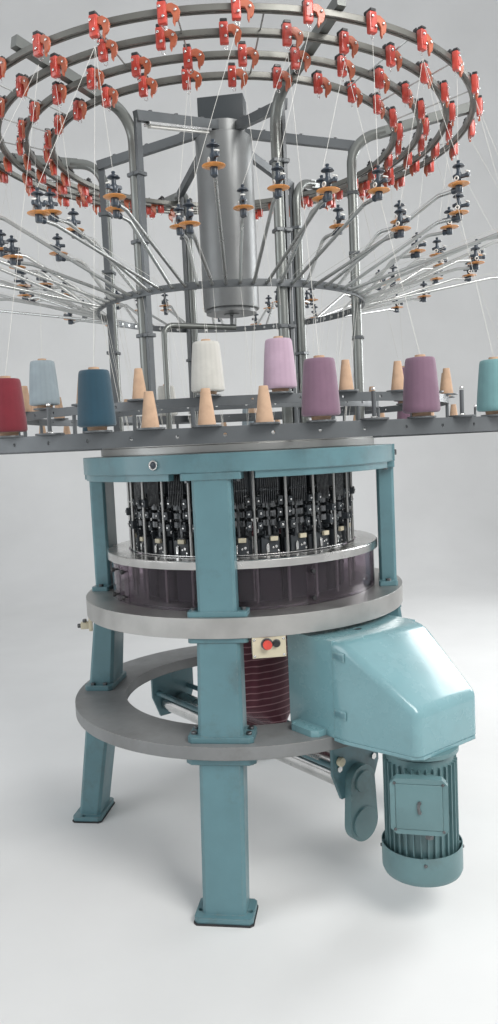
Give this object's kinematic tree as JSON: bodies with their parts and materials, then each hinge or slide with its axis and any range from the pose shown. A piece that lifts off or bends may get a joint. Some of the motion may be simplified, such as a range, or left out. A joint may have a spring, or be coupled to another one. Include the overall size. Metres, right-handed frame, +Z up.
{
  "type": "industrial knitting machine",
  "caption": "Large circular knitting machine: ring frame on splayed legs, knitting heads round a needle cylinder, revolving yarn creel and stop-motion crown, geared belt drive, take-down.",
  "frame": {"origin": "on the floor, on the vertical axis of the needle cylinder", "axes": "+Z up along the axis of revolution, -Y towards the front leg, +X towards the right leg; the belt drive stands at 44 degrees from +X towards -Y"},
  "size_m": [2.5878, 2.5829, 3.0704],
  "materials": {
    "ring_dark": "dark grey paint, satin",
    "ring_satin": "turned warm grey metal, satin",
    "frame_paint": "blue-green machine paint, semi-gloss",
    "hood_paint": "light blue-green machine paint, glossy",
    "rubber_black": "black rubber",
    "screw_dark": "blackened steel",
    "smoke_clear": "smoked clear acrylic",
    "bright_rim": "polished",
    "bright_steel": "ground steel",
    "takedown_paint": "dark green-grey paint",
    "plate_cream": "cream paint",
    "cloth_maroon": "maroon knitted cloth with fine pink stripes",
    "button_red": "red, glossy",
    "button_black": "black, matte",
    "roller_dark": "dark gripping cover",
    "head_dark": "near-black machine paint",
    "drum_black": "oiled dark steel",
    "creel_grey": "blue-grey paint",
    "cone_tan": "tan card",
    "yarn_wound": "wound yarn in several colours",
    "rod_steel": "bright steel rod",
    "disc_amber": "amber, glossy",
    "crown_dark": "dark grey paint",
    "stop_red": "red, glossy",
    "drum_grey": "grey paint, satin"
  },
  "bodies": {
    "base": {"lower_ring": "ring_dark", "middle_ring": "ring_satin", "top_ring": "frame_paint", "foot_pads": "rubber_black", "leg_screws": "screw_dark", "clear_guard": "smoke_clear", "guard_rim": "bright_rim", "needle_cylinder": "bright_steel", "gear_case": "hood_paint", "hood_tray": "hood_paint", "motor_body": "hood_paint", "terminal_box": "hood_paint", "fan_cowl": "hood_paint", "control_box": "plate_cream", "takedown_frame": "takedown_paint", "takedown_gearbox": "hood_paint", "drive_belts": "rubber_black", "fabric_tube": "cloth_maroon", "lower_leg_front": "frame_paint", "mid_leg_front": "frame_paint", "post_front": "frame_paint", "lower_leg_right": "frame_paint", "mid_leg_right": "frame_paint", "post_right": "frame_paint", "lower_leg_back": "frame_paint", "mid_leg_back": "frame_paint", "post_back": "frame_paint", "lower_leg_left": "frame_paint", "mid_leg_left": "frame_paint", "post_left": "frame_paint"},
    "rotor": {"cam_ring": "head_dark", "ring_gear": "bright_steel", "knitting_heads": "head_dark", "pattern_drums": "drum_black", "head_rods": "bright_rim", "bearing_band": "ring_satin", "creel_arms": "creel_grey", "outer_creel_ring": "creel_grey", "inner_creel_ring": "creel_grey", "cone_trays": "creel_grey", "paper_cones": "cone_tan", "yarn_packages": "yarn_wound", "creel_posts": "creel_grey", "spoke_ring": "creel_grey", "yarn_rods": "rod_steel", "tensioners": "disc_amber", "crown_rings": "crown_dark", "stop_motions": "stop_red", "core_drum": "drum_grey", "core_arms": "crown_dark", "creel_hoop": "creel_grey"},
    "hood": {"gear_hood": "hood_paint"},
    "stop_button": {"stop_button": "button_red"},
    "start_button": {"start_button": "button_black"},
    "drive_shaft": {"drive_shaft": "bright_steel"},
    "lay_shaft": {"lay_shaft": "bright_steel"},
    "motor_shaft": {"motor_shaft": "bright_steel"},
    "front_roller": {"front_roller": "roller_dark"},
    "rear_roller": {"rear_roller": "roller_dark"}
  },
  "joints": [
    {"name": "rotor_turn", "type": "hinge", "parent": "base", "child": "rotor", "pos_m": [0, 0, 1.6], "axis": [0, 0, 1], "continuous": true},
    {"name": "drive_shaft_turn", "type": "hinge", "parent": "base", "child": "drive_shaft", "pos_m": [0.41722, -0.4029, 0.85], "axis": [0, 0, 1], "continuous": true},
    {"name": "lay_shaft_turn", "type": "hinge", "parent": "base", "child": "lay_shaft", "pos_m": [0.48606, -0.46938, 0.72], "axis": [0, 0, 1], "continuous": true},
    {"name": "motor_turn", "type": "hinge", "parent": "base", "child": "motor_shaft", "pos_m": [0.68697, -0.6634, 0.5], "axis": [0, 0, 1], "continuous": true},
    {"name": "front_roller_turn", "type": "hinge", "parent": "base", "child": "front_roller", "pos_m": [-0.02709, -0.02805, 0.38], "axis": [0.7193, -0.6947, 0], "continuous": true},
    {"name": "rear_roller_turn", "type": "hinge", "parent": "base", "child": "rear_roller", "pos_m": [0.02709, 0.02805, 0.38], "axis": [0.7193, -0.6947, 0], "continuous": true},
    {"name": "hood_pull", "type": "slide", "parent": "base", "child": "hood", "axis": [0.7193, -0.6947, 0], "range_m": [0, 0.3]},
    {"name": "stop_press", "type": "slide", "parent": "base", "child": "stop_button", "axis": [-0.2689, 0.9632, 0], "range_m": [0, 0.005], "stiffness_N_per_m": 900},
    {"name": "start_press", "type": "slide", "parent": "base", "child": "start_button", "axis": [-0.2689, 0.9632, 0], "range_m": [0, 0.003], "stiffness_N_per_m": 700}
  ],
  "couplings": [
    {"joint": "drive_shaft_turn", "follows": "rotor_turn", "ratio": -10.6},
    {"joint": "lay_shaft_turn", "follows": "rotor_turn", "ratio": 23.556},
    {"joint": "motor_turn", "follows": "rotor_turn", "ratio": 94.222},
    {"joint": "front_roller_turn", "follows": "rotor_turn", "ratio": -0.1},
    {"joint": "rear_roller_turn", "follows": "rotor_turn", "ratio": 0.1}
  ]
}
